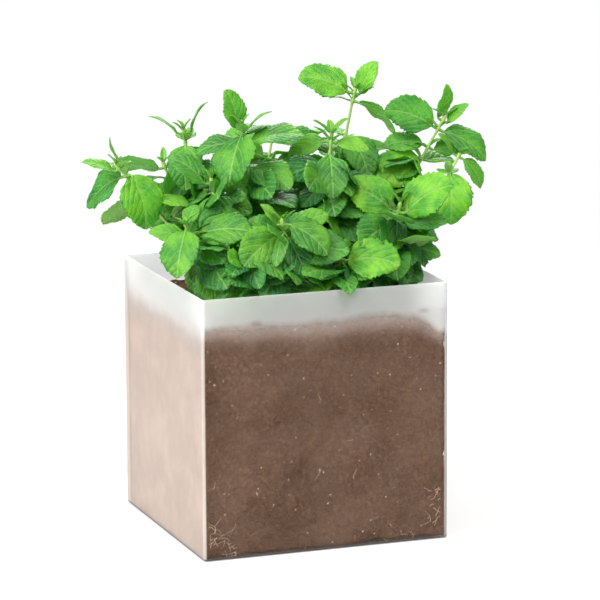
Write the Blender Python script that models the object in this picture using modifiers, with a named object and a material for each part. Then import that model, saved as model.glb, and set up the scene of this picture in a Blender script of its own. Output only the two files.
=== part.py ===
"""A mint plant growing in a square pot of frosted plastic.

The pot is a thin open box that stands on its flat floor. It holds a block of soil,
and the stems stand in sockets in the soil. Each stem carries opposite pairs of leaves,
and each pair is one piece whose clasp runs half way round its stem.

Metres, +Z up. The origin is the middle of the pot's underside, +X runs along the wide
front wall and -Y points out of that wall.
"""

import math
from typing import NamedTuple

import bmesh
import bpy
from mathutils import Vector, noise
from mathutils.bvhtree import BVHTree

# Pot
POT_WIDTH = 0.120
POT_DEPTH = 0.118
POT_HEIGHT = 0.122
POT_WALL = 0.0010
POT_EDGE_RADIUS = 0.0012

# Soil
FIT_GAP = 0.0003
SOIL_BELOW_RIM = 0.0135
SOIL_SIDE_GAP = 0.0012
SOIL_FRONT_GAP = 0.0005
SOIL_EDGE_RADIUS = 0.004
SOIL_LUMP = 0.0012
SOIL_LUMP_SPACING = 0.016
SOIL_CUTS = 6
SOIL_EDGE_CROWDING = 0.55
SOCKET_SIDES = 8

# Stems
STEM_RADIUS = 0.0013
STEM_TIP_RADIUS = 0.0006
STEM_ROOT_DEPTH = 0.012
STEM_STRAIGHT = 0.003
STEM_POINT_SPACING = 0.007
STEM_SAMPLES = 60
BUD_RADIUS = 0.0011
BUD_LENGTH = 0.004
# Shares of BUD_LENGTH and of BUD_RADIUS, from the stem's end to the bud's point.
BUD_PROFILE = ((0.35, 1.0), (0.8, 0.7), (1.0, 0.2))

# Leaves
LEAF_LENGTH = 0.028
LEAF_WIDEST_SHARE = 0.74
LEAF_NARROWEST_SHARE = 0.30
LEAF_THICKNESS = 0.0005
LEAF_FOLD = math.radians(14)
LEAF_CURL = math.radians(42)
LEAF_CURL_ONSET = 1.2
LEAF_BROADENING = 1.5
LEAF_BASE_ROUNDNESS = 0.52
LEAF_TIP_POINT = 0.78
PETIOLE_SHARE = 0.07
PETIOLE_RADIUS = 0.0006
PETIOLE_END_SHARE = 0.85
CLASP_FILLET = 0.0010
LEAF_CLEARANCE = 0.0002

# The shoots' places are given for a pot of this size, and spread out with a wider or deeper one.
SHOOTS_FOR_WIDTH = 0.120
SHOOTS_FOR_DEPTH = 0.118

BLADE_ROWS = (0.04, 0.15, 0.33, 0.53, 0.73, 0.9)
CLASP_ARC_ROWS = 3
CLASP_FILLET_ROWS = 2

# Where a leaf has no room it lifts or droops, then its pair turns, and last its pair stays smaller.
SIZES_TO_TRY = (1.0, 0.92, 0.84, 0.76, 0.68, 0.6, 0.5, 0.4)
TURNS_TO_TRY = tuple(math.radians(a) for a in (0, 8, -8, 16, -16, 26, -26, 38, -38, 52, -52))
LIFTS_TO_TRY = tuple(math.radians(a) for a in (0, 8, -8, 16, -16, 26, -26, 38, -38))


class Pair(NamedTuple):
    """Two opposite leaves at a share of the stem's height.

    turn is the compass direction of the first leaf, in degrees from +X towards +Y, and the
    second leaf heads the other way. sizes are shares of LEAF_LENGTH, lifts are how far the
    leaves rise where their blades begin, and rolls turn their faces about their midribs, all
    in degrees.
    """

    at: float
    turn: float
    sizes: tuple
    lifts: tuple
    rolls: tuple


class Shoot(NamedTuple):
    """One stem with its leaf pairs.

    root is where it leaves the soil. It passes through bend and ends at tip, whose heights
    are above the soil.
    """

    name: str
    root: tuple
    bend: tuple
    tip: tuple
    pairs: tuple


SHOOTS = (
    Shoot(
        "far_left", (-0.026, 0.004), (-0.054, 0.006, 0.037), (-0.078, 0.005, 0.065),
        (
            Pair(0.72, -35, (0.65, 0.85), (10, -8), (20, 30)),
            Pair(0.94, -52, (0.98, 0.95), (-55, -22), (30, -50)),
            Pair(1.00, -20, (0.55, 0.58), (135, 35), (0, -20)),
        ),
    ),
    Shoot(
        "left_back", (-0.018, 0.022), (-0.036, 0.020, 0.044), (-0.043, 0.015, 0.078),
        (
            Pair(0.74, -100, (0.85, 0.75), (-20, 20), (-70, 0)),
            Pair(0.94, 70, (0.62, 0.85), (20, -50), (0, 0)),
            Pair(1.00, -20, (0.62, 0.60), (80, 50), (0, 0)),
        ),
    ),
    Shoot(
        "left_tall", (-0.008, -0.004), (-0.016, -0.004, 0.042), (-0.021, -0.005, 0.082),
        (
            Pair(0.76, -60, (0.90, 0.75), (0, 20), (30, 0)),
            Pair(0.91, -20, (0.95, 0.75), (25, 5), (15, -30)),
            Pair(0.96, -130, (1.00, 0.85), (-35, 15), (10, 0)),
            Pair(1.00, -20, (0.50, 0.70), (53, 93), (0, -60)),
        ),
    ),
    Shoot(
        "tall", (0.016, 0.014), (0.032, 0.012, 0.056), (0.040, 0.010, 0.093),
        (
            Pair(0.78, -70, (0.85, 0.80), (-35, 10), (20, 0)),
            Pair(0.96, -40, (0.85, 0.35), (-20, 20), (-35, 0)),
            Pair(1.00, -20, (0.65, 0.92), (88, 35), (60, -45)),
        ),
    ),
    Shoot(
        "centre", (0.010, -0.012), (0.015, -0.014, 0.042), (0.019, -0.015, 0.076),
        (
            Pair(0.48, -50, (0.90, 0.85), (0, 0), (40, -30)),
            Pair(0.68, -15, (0.95, 0.85), (10, 0), (40, -40)),
            Pair(0.90, -105, (0.85, 0.70), (-35, 30), (0, 0)),
            Pair(0.98, -30, (0.58, 0.72), (5, -8), (40, -40)),
        ),
    ),
    Shoot(
        "right_tall", (0.034, 0.008), (0.060, 0.004, 0.042), (0.081, 0.000, 0.079),
        (
            Pair(0.77, 20, (0.75, 0.95), (10, -12), (20, -45)),
            Pair(0.84, -10, (0.65, 0.72), (15, 8), (40, -40)),
            Pair(0.95, -20, (0.92, 0.90), (-16, 36), (30, -60)),
            Pair(1.00, -10, (0.50, 0.62), (60, 125), (40, -50)),
        ),
    ),
    Shoot(
        "right_small", (0.038, -0.012), (0.066, -0.012, 0.034), (0.085, -0.010, 0.063),
        (
            Pair(0.88, -110, (0.95, 0.65), (-45, 10), (0, 0)),
            Pair(1.00, -30, (0.62, 0.46), (-42, 110), (50, -30)),
        ),
    ),
    Shoot(
        "right_front", (0.028, -0.028), (0.040, -0.032, 0.024), (0.045, -0.035, 0.045),
        (
            Pair(0.58, -100, (0.85, 0.75), (-10, 20), (20, 0)),
            Pair(0.96, -32, (1.00, 0.92), (50, 18), (50, -55)),
            Pair(1.00, 10, (0.42, 0.36), (70, 60), (10, 0)),
        ),
    ),
    Shoot(
        "middle_front", (-0.006, -0.030), (-0.012, -0.040, 0.024), (-0.016, -0.045, 0.043),
        (
            Pair(0.90, -125, (0.62, 0.70), (-30, 20), (10, 0)),
            Pair(1.00, -30, (0.85, 0.45), (-20, 70), (40, -30)),
        ),
    ),
    Shoot(
        "left_middle", (-0.022, -0.012), (-0.033, -0.012, 0.032), (-0.038, -0.010, 0.058),
        (
            Pair(0.90, -110, (0.90, 0.75), (-20, 10), (15, 0)),
            Pair(1.00, -20, (0.65, 0.78), (-15, 55), (40, -40)),
        ),
    ),
    Shoot(
        "left_front", (-0.030, -0.024), (-0.046, -0.028, 0.022), (-0.057, -0.030, 0.042),
        (
            Pair(0.88, -20, (0.65, 0.65), (20, 30), (40, -40)),
            Pair(1.00, -125, (0.92, 0.55), (-35, 30), (10, 0)),
        ),
    ),
    Shoot(
        "low_left", (-0.020, -0.036), (-0.029, -0.042, 0.017), (-0.035, -0.045, 0.031),
        (
            Pair(0.50, -40, (0.60, 0.95), (-5, 8), (40, -45)),
            Pair(1.00, -45, (0.75, 0.85), (-10, 5), (30, -55)),
        ),
    ),
    Shoot(
        "low_right", (0.008, -0.036), (0.011, -0.042, 0.013), (0.012, -0.045, 0.025),
        (
            Pair(0.72, -95, (0.70, 0.65), (-5, 20), (0, 0)),
            Pair(1.00, -35, (0.95, 0.70), (15, -20), (60, -30)),
        ),
    ),
    Shoot(
        "back_left", (-0.024, 0.036), (-0.036, 0.040, 0.036), (-0.044, 0.042, 0.058),
        (
            Pair(0.72, 70, (0.85, 0.85), (-20, 0), (0, 0)),
            Pair(1.00, -20, (0.75, 0.85), (40, 20), (-30, 30)),
        ),
    ),
    Shoot(
        "back_middle", (0.000, 0.032), (0.004, 0.038, 0.040), (0.010, 0.042, 0.068),
        (
            Pair(0.72, 70, (0.90, 0.90), (-10, 5), (0, 0)),
            Pair(1.00, -20, (0.80, 0.80), (15, 15), (30, -30)),
        ),
    ),
    Shoot(
        "back_right", (0.028, 0.036), (0.038, 0.040, 0.038), (0.046, 0.044, 0.060),
        (
            Pair(0.72, 70, (0.90, 0.85), (-15, 5), (0, 0)),
            Pair(1.00, -10, (0.85, 0.75), (20, 30), (-30, 30)),
        ),
    ),
)


def soil_top():
    """Height of the soil's mean surface."""
    return POT_HEIGHT - SOIL_BELOW_RIM


def over_soil(across, back, height=0.0):
    """A shoot's place in the pot as it is, from its place in the shoot table."""
    x = across * POT_WIDTH / SHOOTS_FOR_WIDTH
    y = back * POT_DEPTH / SHOOTS_FOR_DEPTH
    return Vector((x, y, soil_top() + height))


# ---------------------------------------------------------------- scene helpers


def clear_scene():
    for obj in list(bpy.data.objects):
        bpy.data.objects.remove(obj, do_unlink=True)


def collection(name):
    made = bpy.data.collections.new(name)
    bpy.context.scene.collection.children.link(made)
    return made


def material(name, colour, roughness, alpha=1.0):
    made = bpy.data.materials.new(name)
    made.use_nodes = True
    shader = made.node_tree.nodes["Principled BSDF"]
    shader.inputs["Base Color"].default_value = (*colour, 1.0)
    shader.inputs["Roughness"].default_value = roughness
    shader.inputs["Metallic"].default_value = 0.0
    shader.inputs["Alpha"].default_value = alpha
    return made


def add_object(name, data, group, finish):
    obj = bpy.data.objects.new(name, data)
    obj.data.materials.append(finish)
    group.objects.link(obj)
    return obj


def mesh_from_bmesh(name, bm):
    mesh = bpy.data.meshes.new(name)
    bm.to_mesh(mesh)
    bm.free()
    return mesh


# ---------------------------------------------------------------- pot and soil


def make_pot(group, finish):
    """An open box: a cube without its top, rounded along its folds and given a wall inwards."""
    bm = bmesh.new()
    bmesh.ops.create_cube(bm, size=1.0)
    bmesh.ops.scale(bm, vec=(POT_WIDTH, POT_DEPTH, POT_HEIGHT), verts=bm.verts)
    bmesh.ops.translate(bm, vec=(0, 0, POT_HEIGHT / 2), verts=bm.verts)
    top = [face for face in bm.faces if face.normal.z > 0.5]
    bmesh.ops.delete(bm, geom=top, context="FACES_ONLY")
    pot = add_object("pot", mesh_from_bmesh("pot", bm), group, finish)
    fold = pot.modifiers.new("folds", "BEVEL")
    fold.width = POT_EDGE_RADIUS
    fold.segments = 2
    wall = pot.modifiers.new("wall", "SOLIDIFY")
    wall.thickness = POT_WALL
    wall.offset = -1.0
    wall.use_even_offset = True
    return pot


def soil_station(share):
    """Spreads the block's rows of points so that its edges have points close to them."""
    return math.copysign(abs(share) ** SOIL_EDGE_CROWDING, share)


def rounded(point, half):
    """Moves a point of a box's surface onto that box with rounded edges."""
    core = [h - SOIL_EDGE_RADIUS for h in half]
    inner = Vector([max(-c, min(c, p)) for p, c in zip(point, core)])
    out = point - inner
    return inner + out.normalized() * SOIL_EDGE_RADIUS if out.length > 0 else point


def make_soil(group, finish):
    """A block with rounded edges and a lumpy top, a little smaller than the pot's inside."""
    bottom = POT_WALL + FIT_GAP
    half = Vector(
        (
            POT_WIDTH / 2 - POT_WALL - SOIL_SIDE_GAP,
            POT_DEPTH / 2 - POT_WALL - SOIL_FRONT_GAP,
            (soil_top() - bottom) / 2,
        )
    )
    bm = bmesh.new()
    bmesh.ops.create_cube(bm, size=2.0)
    bmesh.ops.subdivide_edges(bm, edges=bm.edges, cuts=SOIL_CUTS, use_grid_fill=True)
    for vert in bm.verts:
        spread = Vector([soil_station(c) for c in vert.co])
        on_box = Vector([s * h for s, h in zip(spread, half)])
        vert.co = rounded(on_box, half)
        if vert.co.z > half.z - SOIL_EDGE_RADIUS:
            vert.co.z += SOIL_LUMP * noise.noise(vert.co / SOIL_LUMP_SPACING)
        vert.co.z += bottom + half.z
    return add_object("soil", mesh_from_bmesh("soil", bm), group, finish)


def cut_socket(soil, name, root, cutters):
    """A round hole for a stem's foot, as wide as the square stem's corners plus the gap."""
    depth = STEM_ROOT_DEPTH + FIT_GAP
    above = 2 * SOIL_LUMP + STEM_STRAIGHT
    bm = bmesh.new()
    radius = (STEM_RADIUS + FIT_GAP) / math.cos(math.pi / SOCKET_SIDES)
    bmesh.ops.create_cone(
        bm,
        cap_ends=True,
        segments=SOCKET_SIDES,
        radius1=radius,
        radius2=radius,
        depth=depth + above,
    )
    middle = over_soil(*root, (above - depth) / 2)
    bmesh.ops.translate(bm, vec=middle, verts=bm.verts)
    cutter = bpy.data.objects.new(name, mesh_from_bmesh(name, bm))
    cutters.objects.link(cutter)
    cutter.hide_render = True
    cutter.display_type = "WIRE"
    cut = soil.modifiers.new(name, "BOOLEAN")
    cut.operation = "DIFFERENCE"
    cut.object = cutter


# ---------------------------------------------------------------- stems


def through(points, share):
    """A point on a smooth Catmull-Rom curve through points, by its share of their run."""
    last = len(points) - 1
    run = share * last
    index = min(int(run), last - 1)
    t = run - index
    before = points[max(index - 1, 0)]
    after = points[min(index + 2, last)]
    a, b = points[index], points[index + 1]
    return 0.5 * (
        2 * a
        + (b - before) * t
        + (2 * before - 5 * a + 4 * b - after) * t * t
        + (3 * a - before - 3 * b + after) * t * t * t
    )


def stem_line(shoot):
    """The stem's centre line from its foot in the soil to its tip, as evenly spread points."""
    root = over_soil(*shoot.root)
    knots = [
        over_soil(*shoot.root, STEM_STRAIGHT),
        over_soil(*shoot.bend),
        over_soil(*shoot.tip),
    ]
    fine = [through(knots, i / STEM_SAMPLES) for i in range(STEM_SAMPLES + 1)]
    length = sum((b - a).length for a, b in zip(fine, fine[1:]))
    count = max(4, round(length / STEM_POINT_SPACING))
    line = [root - Vector((0, 0, STEM_ROOT_DEPTH))]
    wanted = [length * i / count for i in range(count + 1)]
    run = 0.0
    for a, b in zip(fine, fine[1:]):
        step = (b - a).length
        while wanted and run + step >= wanted[0] - 1e-9:
            line.append(a.lerp(b, (wanted.pop(0) - run) / step))
        run += step
    return line


def stem_radius(share):
    """The stem's radius at a share of its height, thinner towards the tip."""
    return STEM_RADIUS + (STEM_TIP_RADIUS - STEM_RADIUS) * max(0.0, share)


def make_stem(shoot, line, group, finish):
    """A square stem with a small closed bud on its end."""
    heading = (line[-1] - line[-2]).normalized()
    points = [(p, stem_radius((i - 1) / (len(line) - 2))) for i, p in enumerate(line)]
    for along, thickness in BUD_PROFILE:
        points.append((line[-1] + heading * BUD_LENGTH * along, BUD_RADIUS * thickness))
    curve = bpy.data.curves.new(shoot.name, "CURVE")
    curve.dimensions = "3D"
    curve.bevel_depth = 1.0
    curve.bevel_resolution = 0
    curve.use_fill_caps = True
    spline = curve.splines.new("POLY")
    spline.points.add(len(points) - 1)
    for spot, (place, radius) in zip(spline.points, points):
        spot.co = (*place, 1.0)
        spot.radius = radius
    return add_object("stem_" + shoot.name, curve, group, finish)


def on_stem(line, share):
    """Where a share of the stem's height is: its place, the stem's direction and its radius."""
    above = line[1:]
    run = share * (len(above) - 1)
    index = min(int(run), len(above) - 2)
    a, b = above[index], above[index + 1]
    return a.lerp(b, run - index), (b - a).normalized(), stem_radius(share)


# ---------------------------------------------------------------- leaf pairs


class Row(NamedTuple):
    """One cross-section of a leaf pair, whose fold lifts its two edges above its middle."""

    centre: Vector
    heading: Vector
    normal: Vector
    half_width: float
    thickness: float
    fold: float

    def corners(self, spare=0.0):
        """Left edge, upper middle, right edge and lower middle, with spare metres all round."""
        across = self.heading.cross(self.normal)
        reach = (self.half_width + spare) * math.cos(self.fold)
        rise = self.half_width * math.sin(self.fold)
        half = self.thickness / 2 + spare
        return [
            self.centre - across * reach + self.normal * rise,
            self.centre + self.normal * half,
            self.centre + across * reach + self.normal * rise,
            self.centre - self.normal * half,
        ]


def width_share(length):
    """Width over length: young short leaves are slender, full-grown ones are broad."""
    grown = min(1.0, length / LEAF_LENGTH) ** LEAF_BROADENING
    return LEAF_NARROWEST_SHARE + (LEAF_WIDEST_SHARE - LEAF_NARROWEST_SHARE) * grown


def outline(share):
    """The blade's half width at a share of its length, 1 at its widest."""
    a, b = LEAF_BASE_ROUNDNESS, LEAF_TIP_POINT
    peak = a / (a + b)
    return (share ** a * (1 - share) ** b) / (peak ** a * (1 - peak) ** b)


def leaf_rows(place, axis, level, start, length, lift, roll):
    """Rows of one leaf from its petiole to its last row, and its tip.

    The petiole leaves the stem square to it and turns to the leaf's own direction, which is
    level lifted by lift. The blade's face looks up, turned about its midrib by roll, and the
    blade curls down towards its tip.
    """
    outward = (level - axis * level.dot(axis)).normalized()
    up = Vector((0, 0, 1))
    petiole = length * PETIOLE_SHARE
    blade = length - petiole
    half_width = blade * width_share(length) / 2
    rows = [Row(place + outward * start, outward, axis, PETIOLE_RADIUS, 2 * PETIOLE_RADIUS, 0.0)]
    end_radius = PETIOLE_RADIUS * PETIOLE_END_SHARE
    stations = [(petiole, lift, end_radius, 2 * end_radius, 0.0)]
    for share in BLADE_ROWS:
        width = max(PETIOLE_RADIUS, half_width * outline(share))
        thickness = LEAF_THICKNESS * (2.0 - share)
        angle = lift - LEAF_CURL * share ** LEAF_CURL_ONSET
        stations.append((petiole + blade * share, angle, width, thickness, LEAF_FOLD))
    stations.append((length, lift - LEAF_CURL, 0.0, 0.0, 0.0))
    last = 0.0
    for at, angle, width, thickness, fold in stations:
        heading = level * math.cos(angle) + up * math.sin(angle)
        upper = up * math.cos(angle) - level * math.sin(angle)
        normal = upper * math.cos(roll) + heading.cross(upper) * math.sin(roll)
        step = (rows[-1].heading + heading).normalized() * (at - last)
        rows.append(Row(rows[-1].centre + step, heading, normal, width, thickness, fold))
        last = at
    return rows[:-1], rows[-1].centre


def clasp_radius(radius):
    """The radius of the clasp's centre line round a stem of this radius."""
    return radius + FIT_GAP + PETIOLE_RADIUS


def clasp_start(radius):
    """How far from the stem's axis a petiole begins: where the clasp's fillet meets it."""
    return math.sqrt((clasp_radius(radius) + CLASP_FILLET) ** 2 - CLASP_FILLET ** 2)


def clasp_rows(place, axis, outward, radius):
    """Rows of the band that joins the two petioles half way round the stem."""
    side = axis.cross(outward)
    ring = clasp_radius(radius)
    start = clasp_start(radius)
    meet = math.atan2(CLASP_FILLET, start)
    sweep = math.pi / 2 - meet
    bends = []
    for i in range(1, CLASP_FILLET_ROWS + 1):
        turned = sweep * i / CLASP_FILLET_ROWS
        across = start - CLASP_FILLET * math.sin(turned)
        along = CLASP_FILLET * (1 - math.cos(turned))
        bends.append((across, along, math.pi - turned))
    arc = []
    for i in range(1, CLASP_ARC_ROWS + 1):
        angle = meet + (math.pi - 2 * meet) * i / (CLASP_ARC_ROWS + 1)
        arc.append((ring * math.cos(angle), ring * math.sin(angle), angle + math.pi / 2))
    far_bends = [(-across, along, -heading) for across, along, heading in reversed(bends)]
    rows = []
    for across, along, turned in bends + arc + far_bends:
        centre = place + outward * across + side * along
        heading = outward * math.cos(turned) + side * math.sin(turned)
        rows.append(Row(centre, heading, axis, PETIOLE_RADIUS, 2 * PETIOLE_RADIUS, 0.0))
    return rows


def loft(rows, first_tip=None, last_tip=None, spare=0.0):
    """Points and faces of a closed body through rows, ending in points or in flat caps."""
    points = [p for row in rows for p in row.corners(spare)]
    faces = []
    for i in range(len(rows) - 1):
        for j in range(4):
            k = (j + 1) % 4
            faces.append((4 * i + j, 4 * i + k, 4 * i + 4 + k, 4 * i + 4 + j))
    end = 4 * (len(rows) - 1)
    for tip, base in ((first_tip, 0), (last_tip, end)):
        if tip is None:
            faces.append(tuple(base + j for j in range(4)))
            continue
        points.append(tip)
        for j in range(4):
            faces.append((base + j, base + (j + 1) % 4, len(points) - 1))
    return points, faces


def turned_back(rows):
    """The same rows in reverse order, heading the other way."""
    return [row._replace(heading=-row.heading) for row in reversed(rows)]


class Grown:
    """What already takes up room, and whether a new leaf would touch it."""

    def __init__(self):
        self.bodies = []

    def add(self, points, faces):
        low = [min(p[k] for p in points) for k in range(3)]
        high = [max(p[k] for p in points) for k in range(3)]
        self.bodies.append((BVHTree.FromPolygons(points, faces), low, high))

    def add_object(self, obj):
        graph = bpy.context.evaluated_depsgraph_get()
        mesh = obj.evaluated_get(graph).to_mesh()
        points = [obj.matrix_world @ v.co for v in mesh.vertices]
        faces = [tuple(p.vertices) for p in mesh.polygons]
        self.add(points, faces)
        obj.evaluated_get(graph).to_mesh_clear()

    def touches(self, points, faces):
        low = [min(p[k] for p in points) for k in range(3)]
        high = [max(p[k] for p in points) for k in range(3)]
        tree = None
        for body, body_low, body_high in self.bodies:
            if any(low[k] > body_high[k] or body_low[k] > high[k] for k in range(3)):
                continue
            tree = tree or BVHTree.FromPolygons(points, faces)
            if tree.overlap(body):
                return True
        return False


def free_leaf(grown, place, axis, level, start, length, lift, roll):
    """The leaf nearest to the wanted lift that touches nothing, or None."""
    for more in LIFTS_TO_TRY:
        rows, tip = leaf_rows(place, axis, level, start, length, lift + more, roll)
        points, faces = loft(rows, last_tip=tip, spare=LEAF_CLEARANCE)
        if not grown.touches(points, faces):
            return rows, tip
    return None


def grow_pair(grown, line, pair):
    """Points and faces of a leaf pair, in the free place nearest to the wanted one."""
    place, axis, radius = on_stem(line, pair.at)
    start = clasp_start(radius)
    for size in SIZES_TO_TRY:
        for more in TURNS_TO_TRY:
            turn = math.radians(pair.turn) + more
            level = Vector((math.cos(turn), math.sin(turn), 0))
            leaves = []
            for way, share, *pose in zip((level, -level), pair.sizes, pair.lifts, pair.rolls):
                lift, roll = (math.radians(angle) for angle in pose)
                length = LEAF_LENGTH * share * size
                leaf = free_leaf(grown, place, axis, way, start, length, lift, roll)
                if leaf:
                    leaves.append(leaf)
            if len(leaves) < 2:
                continue
            (first, first_tip), (second, second_tip) = leaves
            outward = first[0].heading
            clasp = clasp_rows(place, axis, outward, radius)
            if grown.touches(*loft(clasp, spare=LEAF_CLEARANCE)):
                continue
            return loft(turned_back(first) + clasp + second, first_tip, second_tip)
    raise ValueError("a leaf pair has no room at any size")


def make_leaf_pair(name, points, faces, group, finish):
    mesh = bpy.data.meshes.new(name)
    mesh.from_pydata(points, [], faces)
    bm = bmesh.new()
    bm.from_mesh(mesh)
    bmesh.ops.recalc_face_normals(bm, faces=bm.faces)
    bmesh.ops.triangulate(bm, faces=bm.faces)
    bm.to_mesh(mesh)
    bm.free()
    mesh.shade_smooth()
    return add_object(name, mesh, group, finish)


# ---------------------------------------------------------------- the plant


def main():
    clear_scene()
    plant = collection("potted_mint")
    cutters = collection("cutters")
    plastic = material("frosted_plastic", (0.86, 0.87, 0.87), 0.45, 0.5)
    earth = material("soil", (0.10, 0.055, 0.035), 0.95)
    green_stem = material("stem_green", (0.35, 0.50, 0.15), 0.5)
    green_leaf = material("leaf_green", (0.07, 0.30, 0.04), 0.45)

    pot = make_pot(plant, plastic)
    soil = make_soil(plant, earth)
    lines = {shoot.name: stem_line(shoot) for shoot in SHOOTS}
    for shoot in SHOOTS:
        cut_socket(soil, "socket_" + shoot.name, shoot.root, cutters)
    stems = [make_stem(shoot, lines[shoot.name], plant, green_stem) for shoot in SHOOTS]

    bpy.context.view_layer.update()
    grown = Grown()
    for obj in [pot, soil, *stems]:
        grown.add_object(obj)
    for shoot in SHOOTS:
        for number, pair in enumerate(shoot.pairs, start=1):
            points, faces = grow_pair(grown, lines[shoot.name], pair)
            grown.add(points, faces)
            name = f"leaf_pair_{shoot.name}_{number}"
            make_leaf_pair(name, points, faces, plant, green_leaf)


main()
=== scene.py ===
import math
import random

import bmesh
import bpy
import numpy as np
from mathutils import Matrix, Vector, noise


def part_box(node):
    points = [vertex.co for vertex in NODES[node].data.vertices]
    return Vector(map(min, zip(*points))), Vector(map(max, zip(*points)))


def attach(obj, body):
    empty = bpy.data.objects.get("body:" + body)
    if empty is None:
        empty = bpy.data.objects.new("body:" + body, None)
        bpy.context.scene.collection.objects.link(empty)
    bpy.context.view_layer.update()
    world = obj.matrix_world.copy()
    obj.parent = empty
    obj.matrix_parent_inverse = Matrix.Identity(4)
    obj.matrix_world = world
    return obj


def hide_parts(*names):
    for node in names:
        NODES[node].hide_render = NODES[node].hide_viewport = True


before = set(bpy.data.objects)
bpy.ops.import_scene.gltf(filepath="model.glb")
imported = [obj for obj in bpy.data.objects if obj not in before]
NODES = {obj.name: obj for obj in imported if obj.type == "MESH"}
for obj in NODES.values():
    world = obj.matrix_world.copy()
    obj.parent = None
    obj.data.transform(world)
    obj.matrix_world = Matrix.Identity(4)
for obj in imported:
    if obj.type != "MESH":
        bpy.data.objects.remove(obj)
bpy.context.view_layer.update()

# The looks of a potted mint plant. Fine leaves and stems are read from the CAD ones and stand for
# them. Small leaves, crumbly soil and root fibres are added, and the CAD pot gets frosted plastic.

ACROSS = np.array([1.0, 0.0, 0.0])
BACK = np.array([0.0, 1.0, 0.0])
UP = np.array([0.0, 0.0, 1.0])

# ---------------------------------------------------------------- sizes, in metres

POT_LOW, POT_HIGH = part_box("pot")
SOIL_LOW, SOIL_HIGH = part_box("soil")

# Where along a midrib the CAD model gives a blade's places, from its base to its tip.
BLADE_SHARES = (0.0, 0.04, 0.15, 0.33, 0.53, 0.73, 0.9, 1.0)
FULL_LEAF = 0.028
BLADE_THICKNESS = 0.00028
BLADE_BROADER = 1.18
STEM_THINNER = 0.88

# Blades in a pair are finer than the small leaves between them.
TEETH, FEW_TEETH = 9, 6
FEW_TEETH_BELOW = 0.0045
ROWS_PER_TOOTH, PLAIN_ROWS_PER_TOOTH = 5, 4
HALF_COLUMNS, PLAIN_HALF_COLUMNS = 11, 7

# The number of side veins, and how they slant and curve towards the tip as they run outwards.
VEINS = 4.7
VEIN_SLANT = 0.85
VEIN_CURVE = 2.7

# The pairs that the photo shows in a lime green, and how lime each is.
LIME_PAIRS = {
    "far_left_1": 0.90,
    "right_tall_1": 0.95,
    "right_small_1": 1.0,
    "right_front_2": 0.9,
    "low_right_2": 1.0,
    "tall_3": 0.8,
}
TIP_SIZES = {"centre": 1.9, "right_tall": 1.3, "left_middle": 1.3}

# Small leaves are grown in laps over the shoots, the longer ones first.
LAPS, LONG_LAPS = 9, 4
LONG_LEAVES = (0.022, 0.030)
SHORT_LEAVES = (0.016, 0.023)
LEAF_LEVELS = (0.26, 0.38, 0.50, 0.62, 0.74, 0.86)
LEAF_TRIES = 16
LEAST_ROOM = 0.0036
SMALL_PETIOLE = 0.16
LIME_SHARE = 0.10

# What a small leaf that faces out of the plant is worth, against the room that it has.
FACING_WORTH = 0.0055

# The room that the small leaves may fill. Its top rises to the right. Close above the pot it is
# narrower at the left, where the photo shows the pot's inside, and less so in front.
ROOM_X = (-0.052, 0.067)
ROOM_Y = (-0.060, 0.058)
ROOM_TOP, ROOM_TOP_RISE = 0.172, 0.06
LOW_LEFT, LOW_LEFT_IN_FRONT, IN_FRONT_Y = -0.030, -0.050, -0.004
WALL_X, WALL_Y = 0.0560, 0.0550
RIM_CLEARANCE, SOIL_CLEARANCE, LOW_ROOM = 0.003, 0.002, 0.012

# A pair's leaf looks young below GROWN_LEAF, and fully so when it is shorter by YOUNG_RANGE.
GROWN_LEAF, YOUNG_RANGE = 0.022, 0.012
PETIOLE_RADII = (0.0010, 0.00075, 0.00060, 0.00022)
FULL_PETIOLE_LEAF = 0.026

# ---------------------------------------------------------------- small helpers


def unit(v):
    """The vector or vectors at length one."""
    v = np.asarray(v, float)
    return v / np.maximum(np.linalg.norm(v, axis=-1, keepdims=True), 1e-12)


def level_way(angle):
    """The level direction at an angle from the x axis."""
    return np.array([math.cos(angle), math.sin(angle), 0.0])


def line_lengths(line):
    """The distance along a line at each of its points."""
    return np.concatenate([[0], np.cumsum(np.linalg.norm(np.diff(line, axis=0), axis=1))])


def merged(obj):
    """The node's welded vertices and the neighbours of each."""
    bm = bmesh.new()
    bm.from_mesh(obj.data)
    bmesh.ops.remove_doubles(bm, verts=bm.verts, dist=4e-6)
    bm.verts.ensure_lookup_table()
    bm.verts.index_update()
    places = np.array([v.co for v in bm.verts], float)
    near = [{e.other_vert(v).index for e in v.link_edges} for v in bm.verts]
    bm.free()
    return places, near


def layers(near, first):
    """Vertices by how many edges they are from the first ones."""
    seen = set(first)
    rings = [sorted(first)]
    while True:
        after = sorted({n for i in rings[-1] for n in near[i]} - seen)
        if not after:
            return rings
        seen.update(after)
        rings.append(after)


def smooth_through(at, values, wanted):
    """A smooth curve through values at the places at, read at the wanted places."""
    at = np.asarray(at, float)
    values = np.asarray(values, float)
    wanted = np.asarray(wanted, float)
    gap = np.diff(at)
    slope = np.diff(values, axis=0) / gap[:, None]
    tangent = np.empty_like(values)
    tangent[0], tangent[-1] = slope[0], slope[-1]
    share = (gap[:-1] / (gap[:-1] + gap[1:]))[:, None]
    tangent[1:-1] = slope[:-1] * (1 - share) + slope[1:] * share
    i = np.clip(np.searchsorted(at, wanted, side="right") - 1, 0, len(gap) - 1)
    t = ((wanted - at[i]) / gap[i])[:, None]
    g = gap[i][:, None]
    return (
        values[i] * (2 * t ** 3 - 3 * t ** 2 + 1)
        + tangent[i] * g * (t ** 3 - 2 * t ** 2 + t)
        + values[i + 1] * (3 * t ** 2 - 2 * t ** 3)
        + tangent[i + 1] * g * (t ** 3 - t ** 2)
    )


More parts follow.
